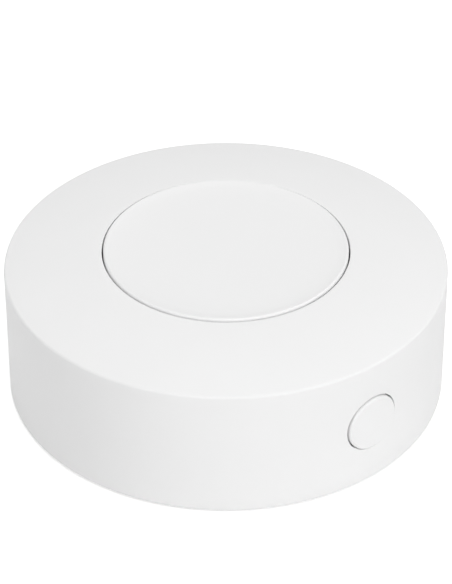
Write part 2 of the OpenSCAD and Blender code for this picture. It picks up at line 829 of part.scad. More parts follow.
module coin_cell_seal() {
    color("black") translate([0, 0, z_cell + cell_steel_t + meet_gap])
        ring(cell_r - cell_lip - meet_gap, cell_cap_r + meet_gap, cell_h - 2 * cell_steel_t - meet_gap);
}

module coin_cell_cap() {
    color("silver") translate([0, 0, z_cell + cell_steel_t]) difference() {
        translate([0, 0, cell_cap_lift])
            cylinder(r = cell_cap_r, h = cell_h - cell_steel_t - cell_cap_lift);
        cylinder(r = cell_cap_r - cell_steel_t, h = cell_h - 2 * cell_steel_t);
    }
}

module coin_cell_core() {
    color("gray") translate([0, 0, z_cell + cell_steel_t + meet_gap])
        cylinder(r = cell_cap_r - cell_steel_t - meet_gap, h = cell_h - 2 * cell_steel_t - 2 * meet_gap);
}

// Pan-head screw that points up from z, with a cross recess
module screw(z, l) {
    recess_depth = head_h / 2;
    recess_l = head_r;
    recess_w = head_r / 4;
    tip_r = screw_r / 3;
    difference() {
        union() {
            translate([0, 0, z - head_h]) cylinder(r = head_r, h = head_h);
            translate([0, 0, z - overlap]) cylinder(r = screw_r, h = l + overlap - screw_r);
            translate([0, 0, z + l - screw_r]) cylinder(r1 = screw_r, r2 = tip_r, h = screw_r);
        }
        for (a = [0, 90]) rotate([0, 0, a])
            translate([0, 0, z - head_h - cut]) box(recess_l, recess_w, recess_depth + cut);
    }
}

module board_screws() {
    color("gray") around(board_boss_angles, board_boss_ring)
        screw(z_board - meet_gap, z_bracket + board_bite - z_board);
}

module base_screws() {
    color("gray") around(base_boss_angles, base_boss_ring)
        screw(z_base_head + head_h - meet_gap, base_screw_l);
}

top_housing();
base_plate();
grip_ring();
battery_door();
main_button_cap();
button_bracket();
return_springs();
side_button_cap();
circuit_board();
main_switch_base();
main_switch_cover();
main_switch_dome();
main_switch_stem();
main_switch_pins();
side_switch_base();
side_switch_cover();
side_switch_stem();
side_switch_pins();
radio_module_board();
radio_shield_can();
radio_chip();
chip_antenna();
crystal_can();
status_led();
chip_parts();
reservoir_capacitor();
battery_holder();
battery_side_clips();
battery_spring_contact();
coin_cell_can();
coin_cell_seal();
coin_cell_cap();
coin_cell_core();
board_screws();
base_screws();
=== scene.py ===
# %% [markdown]
# # A round smart button
# The object is a small white puck: a wide push cap sits in a shallow domed top, and a small round
# button sits nearly flush in the side wall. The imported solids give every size, joint and place.
# This lesson loads them, turns fine-edged shells over the ones that show, and gives every piece a
# finish of its own.

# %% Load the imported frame
import math
import bpy
import bmesh
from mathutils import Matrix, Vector


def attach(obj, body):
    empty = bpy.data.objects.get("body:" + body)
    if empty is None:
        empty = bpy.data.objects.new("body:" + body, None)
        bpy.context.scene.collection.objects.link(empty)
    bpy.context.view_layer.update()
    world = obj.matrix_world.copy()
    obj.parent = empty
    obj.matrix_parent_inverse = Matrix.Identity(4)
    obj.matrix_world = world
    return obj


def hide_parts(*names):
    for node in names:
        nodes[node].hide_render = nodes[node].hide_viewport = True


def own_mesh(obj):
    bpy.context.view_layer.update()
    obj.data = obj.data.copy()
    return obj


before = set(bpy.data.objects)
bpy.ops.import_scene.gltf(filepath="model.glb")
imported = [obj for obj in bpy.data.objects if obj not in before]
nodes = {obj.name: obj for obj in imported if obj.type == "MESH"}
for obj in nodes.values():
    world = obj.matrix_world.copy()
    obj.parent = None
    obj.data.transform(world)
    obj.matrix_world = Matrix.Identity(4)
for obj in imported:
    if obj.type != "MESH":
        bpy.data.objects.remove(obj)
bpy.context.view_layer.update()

# %% [markdown]
# The camera comes first, because every later choice is judged through it. The real picture was
# taken with a long lens from well above the table. The position below comes from matching the
# ellipses of the rim, the foot, the cap's gap and the side button. The aim is a little above the
# puck's middle, so that the puck sits low in the tall frame and no lens shift is needed.

# %% Camera
image_h = 584
view_azimuth, view_elevation = math.radians(-39.6), math.radians(36.237)
view_distance = 0.3051
focal_px, below_centre_px = 2666.0, 25.03
puck_middle = Vector((0, 0, 0.00814))

back = Vector((
    math.sin(view_azimuth) * math.cos(view_elevation),
    -math.cos(view_azimuth) * math.cos(view_elevation),
    math.sin(view_elevation),
))
camera_data = bpy.data.cameras.new("photo_camera")
camera_data.sensor_width = 36
camera_data.lens = focal_px * camera_data.sensor_width / image_h
camera_data.clip_start, camera_data.clip_end = 0.01, 20
camera = bpy.data.objects.new("photo_camera", camera_data)
bpy.context.scene.collection.objects.link(camera)
camera.location = puck_middle + back * view_distance
camera.rotation_mode = "QUATERNION"
level_aim = (-back).to_track_quat("-Z", "Y")
raised = math.atan(below_centre_px / focal_px)
camera.rotation_quaternion = level_aim @ Vector((0, 0, 1)).rotation_difference(
    Vector((0, -math.sin(raised), math.cos(raised))))
bpy.context.scene.camera = camera
print("lens mm:", round(camera_data.lens, 1), "raised degrees:", round(math.degrees(raised), 3))

# %% [markdown]
# The shells are all made one way: rings of points, skinned with quads. Turning a section on a
# lathe gives rings, and so does a round patch laid on the curved wall. Writing the rings one by one
# gives every fillet as many steps as it needs, and leaves no thin slivers on a face that shows, as
# a boolean cut through a curved wall would.

# %% Arcs and rings
MM = 0.001
SEGMENTS, TIP_R = 384, 1e-6


def arc(cx, cz, r, a0, a1, steps):
    """Points of an arc in the plane of the section, angles in degrees."""
    turns = [math.radians(a0 + (a1 - a0) * i / steps) for i in range(steps + 1)]
    return [(cx + r * math.cos(t), cz + r * math.sin(t)) for t in turns]


def circle(r, z, n=SEGMENTS, centre=(0, 0), start=-90):
    """A level ring of points; the first one faces -Y, unless start gives another angle."""
    turns = [math.radians(start + 360 * i / n) for i in range(n)]
    return [(centre[0] + r * math.cos(t), centre[1] + r * math.sin(t), z) for t in turns]


print("a full ring has", SEGMENTS, "points")

# %% [markdown]
# A form collects the points and faces of one closed shape. Bridging two rings lays a quad between
# each pair of neighbours, or a triangle where one ring is only a tip. Turned sections, blocks cut
# from a ring and plain boxes are all built on that one step.

# %% Forms
class Form:
    """The points and faces of one closed shape, in millimetres."""

    def __init__(self):
        self.points, self.faces = [], []

    def ring(self, points):
        """Adds points, and returns their numbers."""
        first = len(self.points)
        self.points += points
        return list(range(first, len(self.points)))

    def bridge(self, a, b):
        """Skins two rings; a ring of one point is a tip."""
        n = max(len(a), len(b))
        for i in range(n):
            j = (i + 1) % n
            if len(a) == 1:
                self.faces.append((a[0], b[j], b[i]))
            elif len(b) == 1:
                self.faces.append((a[i], a[j], b[0]))
            else:
                self.faces.append((a[i], a[j], b[j], b[i]))

    def skin(self, rings, loop=False):
        """Adds rings and bridges each to the next; a loop also bridges the last to the first."""
        rings = [self.ring(r) for r in rings]
        for a, b in zip(rings, rings[1:] + rings[:1] if loop else rings[1:]):
            self.bridge(a, b)
        return rings

    def turned(self, section, n=SEGMENTS, centre=(0, 0), loop=False, start=-90):
        """A section of (radius, height) points turned about a vertical axis; radius 0 is a tip."""
        return self.skin([
            circle(r, z, n, centre, start) if r > TIP_R else [(*centre, z)] for r, z in section], loop)

    def sector(self, r_in, r_out, z0, z1, middle, width, steps=24):
        """A block cut from a ring, angles in degrees."""
        corners = ((r_in, z0), (r_out, z0), (r_out, z1), (r_in, z1))
        turns = [math.radians(middle + width * (i / steps - 0.5)) for i in range(steps + 1)]
        rings = self.skin([[(r * math.cos(t), r * math.sin(t), z) for r, z in corners] for t in turns])
        self.faces += [tuple(rings[0]), tuple(rings[-1])]

    def block(self, low, high):
        """A box between two corners."""
        (x0, y0, z0), (x1, y1, z1) = low, high
        rings = self.skin([[(x0, y0, z), (x1, y0, z), (x1, y1, z), (x0, y1, z)] for z in (z0, z1)])
        self.faces += [tuple(rings[0]), tuple(rings[1])]


# %% [markdown]
# Bosses, lugs and screw holes never show while the puck is closed, so they are plain closed forms
# that a boolean joins to the moulding or cuts from it. That leaves no face buried in the plastic.
# Every mesh is also freed of unused points, and its faces are turned outwards.

# %% From forms to meshes
def as_mesh(form, name):
    """The form as a mesh, in metres."""
    made = bpy.data.meshes.new(name)
    made.from_pydata([Vector(p) * MM for p in form.points], [], form.faces)
    work = bmesh.new()
    work.from_mesh(made)
    bmesh.ops.delete(work, geom=[v for v in work.verts if not v.link_faces], context="VERTS")
    bmesh.ops.recalc_face_normals(work, faces=work.faces)
    work.to_mesh(made)
    work.free()
    return made


def combined(form, name, steps):
    """The form's mesh after boolean steps, each an operation and another form."""
    whole = bpy.data.objects.new("whole", as_mesh(form, "whole"))
    bpy.context.scene.collection.objects.link(whole)
    tools = []
    for operation, other in steps:
        tool = bpy.data.objects.new("tool", as_mesh(other, "tool"))
        bpy.context.scene.collection.objects.link(tool)
        step = whole.modifiers.new("step", "BOOLEAN")
        step.operation, step.solver, step.object = operation, "EXACT", tool
        tools.append(tool)
    graph = bpy.context.evaluated_depsgraph_get()
    made = bpy.data.meshes.new_from_object(whole.evaluated_get(graph))
    made.name = name
    for used in (whole, *tools):
        bpy.data.meshes.remove(used.data)
    return made


# %% [markdown]
# A piece is a mesh that rides on one of the imported bodies and stands in for the solid of the same
# part. Edges sharper than a set angle stay crisp, and the normals of the large faces lead, so that
# flat faces look flat right up to their fillets.

# %% From meshes to pieces
crisp_degrees = 32


def make_piece(form, name, body, slot, *stands_for, steps=()):
    """The finished object: smooth where it is round, crisp where it is not."""
    mesh = combined(form, name, steps) if steps else as_mesh(form, name)
    mesh.shade_smooth()
    mesh.set_sharp_from_angle(angle=math.radians(crisp_degrees))
    made = bpy.data.objects.new(name, mesh)
    bpy.context.scene.collection.objects.link(made)
    weigh = made.modifiers.new("large_faces_lead", "WEIGHTED_NORMAL")
    weigh.keep_sharp = True
    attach(made, body)
    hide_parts(*stands_for)
    print(name, len(mesh.polygons), "faces")
    return made


# %% [markdown]
# The top shell is one turned section: guide collar, domed shoulder, straight wall, rebate for the
# base. The shoulder is a shallow arc that stands only 0.2 mm over a straight line and steepens
# towards the rim, so it looks nearly flat but still shades from back to front. A tight fillet at
# the rim catches the bright line that the picture shows. The numbers, all in millimetres, repeat
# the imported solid's.

# %% Top shell: sizes and section
body_r, wall_t, z_foot, z_rim, shoulder_rise, shoulder_t = 25.0, 2.0, 0.3, 15.9, 1.8, 2.0
inner_r, rebate_r, z_base_top = body_r - wall_t, 23.8, 1.9
aperture_r, collar_r, collar_h = 13.97, 15.37, 3.6
rim_fillet, foot_fillet, aperture_fillet, rebate_bevel = 0.35, 0.3, 0.1, 0.05
LIP_STEPS, DOME_STEPS, RIM_STEPS, FOOT_STEPS, UNDER_STEPS = 8, 24, 10, 8, 12
z_shoulder = z_rim + shoulder_rise
z_collar = z_shoulder - collar_h
shoulder_w, shoulder_crown = body_r - aperture_r, 0.2
chord = math.hypot(shoulder_w, shoulder_rise)
dome_r = chord ** 2 / (8 * shoulder_crown) + shoulder_crown / 2
shoulder_start = math.atan(shoulder_rise / shoulder_w) - math.asin(chord / (2 * dome_r))
dome_x0 = aperture_r - dome_r * math.sin(shoulder_start)
dome_z0 = z_shoulder - dome_r * math.cos(shoulder_start)


def dome_height(r, inset=0.0):
    """Height of the shoulder's arc at a radius, or of an arc inset below it."""
    return dome_z0 + math.sqrt((dome_r - inset) ** 2 - (r - dome_x0) ** 2)


def dome_turn(r, inset=0.0):
    """Angle along the same arc at a radius, in degrees."""
    return math.degrees(math.acos((r - dome_x0) / (dome_r - inset)))


rim_x, lip_x = body_r - rim_fillet, aperture_r + aperture_fillet
rim_turn, lip_turn = dome_turn(rim_x, rim_fillet), dome_turn(lip_x, aperture_fillet)
over_top = (
    [(aperture_r, z_collar)]
    + arc(lip_x, dome_height(lip_x, aperture_fillet), aperture_fillet, 180, lip_turn, LIP_STEPS)
    + arc(dome_x0, dome_z0, dome_r, lip_turn, rim_turn, DOME_STEPS)[1:]
    + arc(rim_x, dome_height(rim_x, rim_fillet), rim_fillet, rim_turn, 0, RIM_STEPS)[1:]
)
wall_top, wall_foot = over_top[-1][1], z_foot + foot_fillet
under_foot = (
    arc(body_r - foot_fillet, wall_foot, foot_fillet, 0, -90, FOOT_STEPS)[1:]
    + [(rebate_r + rebate_bevel, z_foot), (rebate_r, z_foot + rebate_bevel), (rebate_r, z_base_top)]
)
inner_top = dome_height(inner_r, shoulder_t)
wall_turn, collar_turn = dome_turn(inner_r, shoulder_t), dome_turn(collar_r, shoulder_t)
under_dome = (
    arc(dome_x0, dome_z0, dome_r - shoulder_t, wall_turn, collar_turn, UNDER_STEPS)[1:]
    + [(collar_r, z_collar)]
)
print("dome radius mm:", round(dome_r, 2), "wall from", wall_foot, "to", round(wall_top, 3))

# %% [markdown]
# The side button needs a round hole in the round wall. A window of the wall's grid is left open,
# and rings of points close in from the window's edge to the hole, every point exactly on the
# wall's cylinder. The rings crowd towards the hole, where the eye goes.

# %% A round hole in a round wall
side_z, side_r, side_gap = 8.1, 3.3, 0.15
hole_r, hole_fillet = side_r + side_gap, 0.08
HALF_WINDOW, CLOSING_RINGS, CROWDING = 12, 7, 1.5


def on_wall(r, x, z):
    """A point on the near side of an upright cylinder, which faces -Y."""
    return (x, -math.sqrt(r * r - x * x), z)


def window_edge(rings):
    """Once round the window at -Y: along the first ring, down, back along the last ring, up."""
    n, w = SEGMENTS, HALF_WINDOW
    return (
        [rings[0][i % n] for i in range(-w, w)] + [ring[w] for ring in rings[:-1]]
        + [rings[-1][-i % n] for i in range(-w, w)] + [ring[-w] for ring in reversed(rings[1:])])


def wall_with_hole(form, rings, r, hole, headings=None):
    """Skins a stack of wall rings round a hole. Returns the hole's ring and its angles."""
    for a, b in zip(rings, rings[1:]):
        for i in range(HALF_WINDOW, SEGMENTS - HALF_WINDOW):
            j = (i + 1) % SEGMENTS
            form.faces.append((a[i], a[j], b[j], b[i]))
    previous = window_edge(rings)
    flat = []
    for k in previous:
        x, y, z = form.points[k]
        flat.append((r * math.atan2(x, -y), z))
    if headings is None:
        headings = [math.atan2(z - side_z, s) for s, z in flat]
    goal = [(r * math.asin(hole * math.cos(t) / r), side_z + hole * math.sin(t)) for t in headings]
    for step in range(1, CLOSING_RINGS + 1):
        share = 1 - (1 - step / CLOSING_RINGS) ** CROWDING
        ring = form.ring([
            on_wall(r, r * math.sin((s + (gs - s) * share) / r), z + (gz - z) * share)
            for (s, z), (gs, gz) in zip(flat, goal)])
        form.bridge(previous, ring)
        previous = ring
    return previous, headings


print("side hole mm:", 2 * hole_r)


# %% [markdown]
# The edge of the hole rolls over a small fillet, and so will the edge of the button in it. Both
# edges follow the curved wall, so the fillet's middle is found afresh at every point.

# %% A fillet on the curved wall
def rolled(r, reach, fillet, side, turns, steps):
    """Rings of a fillet: side 1 rolls away from the middle of the circle, side -1 towards it."""
    rings = []
    for step in range(1, steps + 1):
        roll = math.radians(90 * step / steps)
        ring = []
        for t in turns:
            x, z = reach * math.cos(t), side_z + reach * math.sin(t)
            out = Vector(on_wall(r, x, 0)).normalized()
            sideways = side * Vector((math.cos(t), 0, math.sin(t)))
            centre = Vector(on_wall(r, x, z)) - fillet * out
            ring.append(tuple(centre + fillet * (math.cos(roll) * out + math.sin(roll) * sideways)))
        rings.append(ring)
    return rings


# %% [markdown]
# Now the shell is put together from the top down: the turned top, the outer wall with the hole, the
# foot, the inner wall with the hole, and the underside of the shoulder. A short tunnel joins the
# two holes. Both walls are stacked from the top down, so that their holes run the same way round.

# %% Top shell: walls
ROWS, MOUTH_STEPS = 24, 6
shell = Form()
top_rings = shell.turned(over_top)
row_z = [wall_top + (wall_foot - wall_top) * i / ROWS for i in range(1, ROWS + 1)]
wall_rings = [top_rings[-1]] + [shell.ring(circle(body_r, z)) for z in row_z]
mouth_r = hole_r + hole_fillet
mouth, headings = wall_with_hole(shell, wall_rings, body_r, mouth_r)

foot_rings = shell.skin([circle(r, z) for r, z in under_foot])
shell.bridge(wall_rings[-1], foot_rings[0])
inside_z = [inner_top + (z_base_top - inner_top) * i / ROWS for i in range(ROWS + 1)]
inside_rings = [shell.ring(circle(inner_r, z)) for z in inside_z]
shell.bridge(foot_rings[-1], inside_rings[-1])
throat, _ = wall_with_hole(shell, inside_rings, inner_r, hole_r, headings)
dome_rings = shell.skin([circle(r, z) for r, z in under_dome])
shell.bridge(inside_rings[0], dome_rings[0])
shell.bridge(dome_rings[-1], top_rings[0])

rolled_rings = rolled(body_r, mouth_r, hole_fillet, -1, headings, MOUTH_STEPS)
tunnel = [shell.ring(ring) for ring in rolled_rings]
for a, b in zip([mouth] + tunnel, tunnel + [throat]):
    shell.bridge(a, b)
print("shell points:", len(shell.points))

# %% [markdown]
# Inside the shell are seven screw bosses that hang from the shoulder. They never show while the
# puck is closed, but they stay in the model so that the shell is the same part as the solid. A
# union joins them to the shoulder, and then their holes are cut.

# %% Top shell: bosses, and the finished piece
z_bracket, z_pillar = 12.2, 3.4
board_boss_ring, board_boss_r, board_boss_turns = 19.5, 2.4, (30, 150, 240, 300)
base_boss_ring, base_boss_r, base_boss_turns = 20.2, 2.9, (90, 210, 330)
boss_hole_r, board_hole_depth, base_hole_depth, boss_cover = 1.03, 2.8, 6.0, shoulder_t / 4
ROUND, HOLE_TWIST, CUT_PAST = 48, 0.25, 1.0


def at_turn(ring_r, degrees):
    return (ring_r * math.cos(math.radians(degrees)), ring_r * math.sin(math.radians(degrees)))


def stand(form, section, ring_r, degrees, twist=0.5):
    """Turns a small section about an upright axis, out on a ring.

    The twist, a share of one step, keeps its corners off the edges of what it meets.
    """
    form.turned(section, ROUND, at_turn(ring_r, degrees), start=degrees + twist * 360 / ROUND)


def rod(r, z0, z1):
    """The section of a plain round rod."""
    return [(0, z0), (r, z0), (r, z1), (0, z1)]


bosses, boss_holes = Form(), Form()
for ring_r, r, turns, z, depth in (
        (board_boss_ring, board_boss_r, board_boss_turns, z_bracket, board_hole_depth),
        (base_boss_ring, base_boss_r, base_boss_turns, z_pillar, base_hole_depth)):
    for degrees in turns:
        stand(bosses, rod(r, z, dome_height(ring_r + r) - boss_cover), ring_r, degrees)
        stand(boss_holes, rod(boss_hole_r, z - CUT_PAST, z + depth), ring_r, degrees, HOLE_TWIST)
top_shell = make_piece(shell, "top_shell", "housing", "housing_white", "top_housing",
                       steps=[("UNION", bosses), ("DIFFERENCE", boss_holes)])

# %% [markdown]
# The push cap is a shallow dish. Its middle is flat, its edge turns up by a few degrees and ends
# in a fillet, so the picture shows a soft bright band inside the far edge and a thin light line on
# the near one. The skirt, stop flange, plunger and spring posts below are part of the same
# moulding.

# %% Push cap: sizes and section
cap_r, cap_fillet, cap_proud = 13.8, 0.25, 0.2
z_cap_rim = z_shoulder + cap_proud
dish_curve_w, dish_slope, lip_w, lip_slope = 2.3, 3.0, 1.2, 12.0
cap_t, skirt_r = 1.6, 12.4
flange_r, z_flange, flange_t = 15.17, 13.0, 1.0
edge_x, edge_z = cap_r - cap_fillet, z_cap_rim - cap_fillet
dish_rad, lip_rad = math.radians(dish_slope), math.radians(lip_slope)
lip_end_x = edge_x - cap_fillet * math.sin(lip_rad)
lip_end_z = edge_z + cap_fillet * math.cos(lip_rad)
lip_r = lip_w / (math.sin(lip_rad) - math.sin(dish_rad))
lip_x0, lip_z0 = lip_end_x - lip_r * math.sin(lip_rad), lip_end_z + lip_r * math.cos(lip_rad)
dish_end_x, dish_end_z = lip_end_x - lip_w, lip_z0 - lip_r * math.cos(dish_rad)
dish_flat_r, dish_r = dish_end_x - dish_curve_w, dish_curve_w / math.sin(dish_rad)
z_dish = dish_end_z - dish_r * (1 - math.cos(dish_rad))
z_cap_under = z_dish - cap_t
z_flange_top = z_flange + flange_t
z_plunger, plunger_r = 12.18, 2.2
DISH_STEPS, CAP_LIP_STEPS, CAP_EDGE_STEPS = 12, 8, 12

cap = Form()
cap.turned(
    [(0, z_dish), (dish_flat_r / 2, z_dish)]
    + arc(dish_flat_r, z_dish + dish_r, dish_r, 270, 270 + dish_slope, DISH_STEPS)
    + arc(lip_x0, lip_z0, lip_r, 270 + dish_slope, 270 + lip_slope, CAP_LIP_STEPS)[1:]
    + arc(edge_x, edge_z, cap_fillet, 90 + lip_slope, 0, CAP_EDGE_STEPS)[1:]
    + [(cap_r, z_flange_top), (flange_r, z_flange_top), (flange_r, z_flange), (skirt_r, z_flange),
       (skirt_r, z_cap_under), (plunger_r, z_cap_under), (plunger_r, z_plunger), (0, z_plunger)])
print("dish depth mm:", round(z_cap_rim - z_dish, 3))

# %% [markdown]
# Three posts under the cap keep the return springs in place, and two notches in its flange run on
# the bracket's keys, so that the cap can't turn.

# %% Push cap: posts, notches, and the finished piece
spring_turns_at, spring_ring_r = (90, 210, 330), 9.0
post_r, post_h, post_bevel, post_seat = 1.05, 0.8, 0.15, 0.2
key_r, key_notch_w, notch_rise = 14.2, 2.4, 0.05
z_post, z_post_top = z_cap_under - post_h, z_cap_under + post_seat

posts, keyways = Form(), Form()
for degrees in spring_turns_at:
    stand(posts, [(0, z_post), (post_r - post_bevel, z_post), (post_r, z_post + post_bevel),
                  (post_r, z_post_top), (0, z_post_top)], spring_ring_r, degrees)
half_w, z_notch_low, z_notch_high = key_notch_w / 2, z_flange - CUT_PAST, z_flange_top + notch_rise
for x0, x1 in ((key_r, flange_r + CUT_PAST), (-flange_r - CUT_PAST, -key_r)):
    keyways.block((x0, -half_w, z_notch_low), (x1, half_w, z_notch_high))
push_cap = make_piece(cap, "push_cap", "main_button", "button_white", "main_button_cap",
                      steps=[("UNION", posts), ("DIFFERENCE", keyways)])

# %% [markdown]
# The side button's face follows the wall, a hair further out, so that it looks like a disc cut out
# of it and a thumb still finds it. Its rounded edge hides the gap on the side away from the viewer.

# %% Side button
side_proud, side_fillet = 0.25, 0.3
side_face_r, face_r = body_r + side_proud, side_r - side_fillet
side_flange_r, side_flange_y, side_flange_t = 4.3, -22.494, 0.9
side_pin_r, side_pin_l = 0.95, 1.1
SIDE_N, FACE_STEPS = 128, 8
side_turns = [2 * math.pi * i / SIDE_N for i in range(SIDE_N)]


def side_ring(r, y):
    """A flat ring about the button's own axis, which points along -Y."""
    return [(r * math.cos(t), y, side_z + r * math.sin(t)) for t in side_turns]


face_rings = [[on_wall(side_face_r, 0, side_z)]]
for step in range(1, FACE_STEPS + 1):
    r = face_r * step / FACE_STEPS
    face_rings.append([
        on_wall(side_face_r, r * math.cos(t), side_z + r * math.sin(t)) for t in side_turns])
flange_back = side_flange_y + side_flange_t
pin_end = flange_back + side_pin_l
side = Form()
side.skin(face_rings + rolled(side_face_r, face_r, side_fillet, 1, side_turns, FACE_STEPS) + [
    side_ring(side_r, side_flange_y), side_ring(side_flange_r, side_flange_y),
    side_ring(side_flange_r, flange_back), side_ring(side_pin_r, flange_back),
    side_ring(side_pin_r, pin_end), [(0, pin_end, side_z)]])
side_button = make_piece(side, "side_button", "side_button", "button_white", "side_button_cap")

# %% [markdown]
# Underneath, a flat plate closes the shell and a soft ring keeps the puck from sliding. The plate
# is turned, with the groove for the ring, the step that the battery door lies in and the bayonet
# ledge.

# %% Base plate: turned section
slide_gap, base_edge = 0.1, 0.08
base_r, z_groove, grip_r, grip_in_r = 23.7, 0.8, 22.4, 15.6
hub_r, lug_r, door_r, z_ledge = 11.0, 12.15, 12.25, 1.1
ledge_r, step_r, notch_r = hub_r + slide_gap, door_r + slide_gap, lug_r + slide_gap
groove_in, groove_out = grip_in_r - slide_gap, grip_r + slide_gap

base = Form()
base.turned([
    (ledge_r, z_base_top), (ledge_r, z_ledge), (step_r, z_ledge),
    (step_r, z_foot + base_edge), (step_r + base_edge, z_foot),
    (groove_in - base_edge, z_foot), (groove_in, z_foot + base_edge), (groove_in, z_groove),
    (groove_out, z_groove), (groove_out, z_foot + base_edge), (groove_out + base_edge, z_foot),
    (base_r - base_edge, z_foot), (base_r, z_foot + base_edge), (base_r, z_base_top)],
    loop=True, start=-90 + 180 / SEGMENTS)
print("ledge mm:", round(2 * ledge_r, 2), "groove mm:", round(2 * groove_in, 2), "to", 2 * groove_out)

# %% [markdown]
# Three gaps cut in the ledge let the door's lugs through, and two stops end the door's twist. Three
# pillars take the screws, whose heads sink into the plate behind the ring. The counts of steps are
# chosen so that no cut runs along one of the plate's own edges.

# %% Base plate: ledge gaps, stops, pillars, and the finished piece
lug_count, lug_at, lug_turn, door_turn, gap_turn, GAP_STEPS = 3, 30, 30, 45, 34, 18
stop_turn, stop_w, stop_h, stop_seat, STOP_STEPS = 5, 1.0, 0.8, 0.2, 5
pillar_r, pillar_seat, head_hole_r, shank_hole_r, z_head_top = 2.6, 0.3, 1.95, 1.1, 2.1
gap_at = lug_at - door_turn

on_plate, plate_cuts = Form(), Form()
for i in range(lug_count):
    plate_cuts.sector(ledge_r - CUT_PAST, notch_r, z_foot, z_base_top + CUT_PAST,
                      gap_at + 360 / lug_count * i, gap_turn, GAP_STEPS)
for stop_at in (gap_at - gap_turn / 2 - stop_turn, lug_at + lug_turn / 2 + stop_turn):
    on_plate.sector(ledge_r + stop_seat, notch_r + stop_w, z_base_top - stop_seat, z_base_top + stop_h,
                    stop_at, stop_turn, STOP_STEPS)
screw_hole = [(0, z_foot), (head_hole_r, z_foot), (head_hole_r, z_head_top), (shank_hole_r, z_head_top),
              (shank_hole_r, z_pillar + CUT_PAST), (0, z_pillar + CUT_PAST)]
for degrees in base_boss_turns:
    stand(on_plate, rod(pillar_r, z_base_top - pillar_seat, z_pillar), base_boss_ring, degrees)
    stand(plate_cuts, screw_hole, base_boss_ring, degrees, HOLE_TWIST)
base_shell = make_piece(base, "base_shell", "housing", "housing_white", "base_plate",
                        steps=[("UNION", on_plate), ("DIFFERENCE", plate_cuts)])

# %% [markdown]
# The grip ring is soft elastomer, moulded with rounded edges and three shallow rills that let it
# bite on a table. The rills are turned in the section, because real ones are.

# %% Grip ring
grip_edge, grip_t, rill_count, rill_w, rill_depth = 0.2, 0.8, 3, 0.5, 0.12
GRIP_STEPS = 6

section = arc(grip_in_r + grip_edge, grip_edge, grip_edge, 180, 270, GRIP_STEPS)
for i in range(rill_count):
    middle = grip_in_r + (grip_r - grip_in_r) * (i + 1) / (rill_count + 1)
    section += [(middle - rill_w / 2, 0), (middle - rill_w / 4, rill_depth),
                (middle + rill_w / 4, rill_depth), (middle + rill_w / 2, 0)]
section += arc(grip_r - grip_edge, grip_edge, grip_edge, 270, 360, GRIP_STEPS)
section += [(grip_r, grip_t), (grip_in_r, grip_t)]
grip = Form()
grip.turned(section, loop=True)
grip_pad = make_piece(grip, "grip_pad", "housing", "grip_rubber", "grip_ring")

# %% [markdown]
# The battery door is a disc with a coin slot, held by three lugs behind the plate's ledge. A
# boolean cut would give the slot too, but with a sharp edge. So the slot's outline is walked at
# even steps, and its rings lead from the floor of the slot over a rounded edge to the door's face.

# %% Battery door: coin slot
z_door, z_door_top, DOOR_N, EDGE_STEPS = 0.4, 2.1, 192, 6
slot_l, slot_w, slot_depth, slot_edge = 14.0, 2.0, 0.9, 0.12


def slot_outline(grow, z):
    """A long round-ended outline, walked at even steps from its +X end."""
    r, run = slot_w / 2 + grow, slot_l - slot_w
    whole = 2 * run + 2 * math.pi * r
    quarter = math.pi * r / 2
    points = []
    for i in range(DOOR_N):
        s = whole * i / DOOR_N
        if s < quarter or s >= whole - quarter:
            t = s / r if s < quarter else (s - whole) / r
            points.append((run / 2 + r * math.cos(t), r * math.sin(t), z))
        elif s < quarter + run:
            points.append((run / 2 - (s - quarter), r, z))
        elif s < 3 * quarter + run:
            t = math.pi / 2 + (s - quarter - run) / r
            points.append((-run / 2 + r * math.cos(t), r * math.sin(t), z))
        else:
            points.append((-run / 2 + (s - 3 * quarter - run), -r, z))
    return points


slot_floor = z_door + slot_depth
slot_rings = [[(0, 0, slot_floor)], slot_outline(-slot_edge, slot_floor),
              slot_outline(0, slot_floor - slot_edge)]
for step in range(EDGE_STEPS + 1):
    roll = math.radians(90 * step / EDGE_STEPS)
    slot_rings.append(slot_outline(
        slot_edge * (1 - math.cos(roll)), z_door + slot_edge * (1 - math.sin(roll))))
print("coin slot mm:", slot_l, "by", slot_w, "by", slot_depth)

# %% [markdown]
# The same skin goes on over the disc's round edge and up the hub. The face is flat, so the slanted
# quads between the long slot and the round edge do not show. The lugs are joined by a union, with
# their tops a hair under the hub's, so that no two faces coincide.

# %% Battery door: disc, hub, lugs, and the finished piece
z_lug, z_lug_top, hub_t, lug_drop = 2.0, 2.8, 0.8, 0.01
hub_in_r, z_disc_top = hub_r - hub_t, z_ledge - slide_gap

door_section = arc(door_r - slot_edge, z_door + slot_edge, slot_edge, 270, 360, EDGE_STEPS)
door_section += [(door_r, z_disc_top), (hub_r, z_disc_top), (hub_r, z_lug_top),
                 (hub_in_r, z_lug_top), (hub_in_r, z_door_top)]
door_rings = [circle(r, z, DOOR_N, start=180 / DOOR_N) for r, z in door_section]
door, lugs = Form(), Form()
door.skin(slot_rings + door_rings + [[(0, 0, z_door_top)]])
for i in range(lug_count):
    lugs.sector(hub_r - hub_t / 2, lug_r, z_lug, z_lug_top - lug_drop,
                lug_at + 360 / lug_count * i, lug_turn)
battery_door = make_piece(door, "coin_slot_door", "door", "housing_white", "battery_door",
                          steps=[("UNION", lugs)])
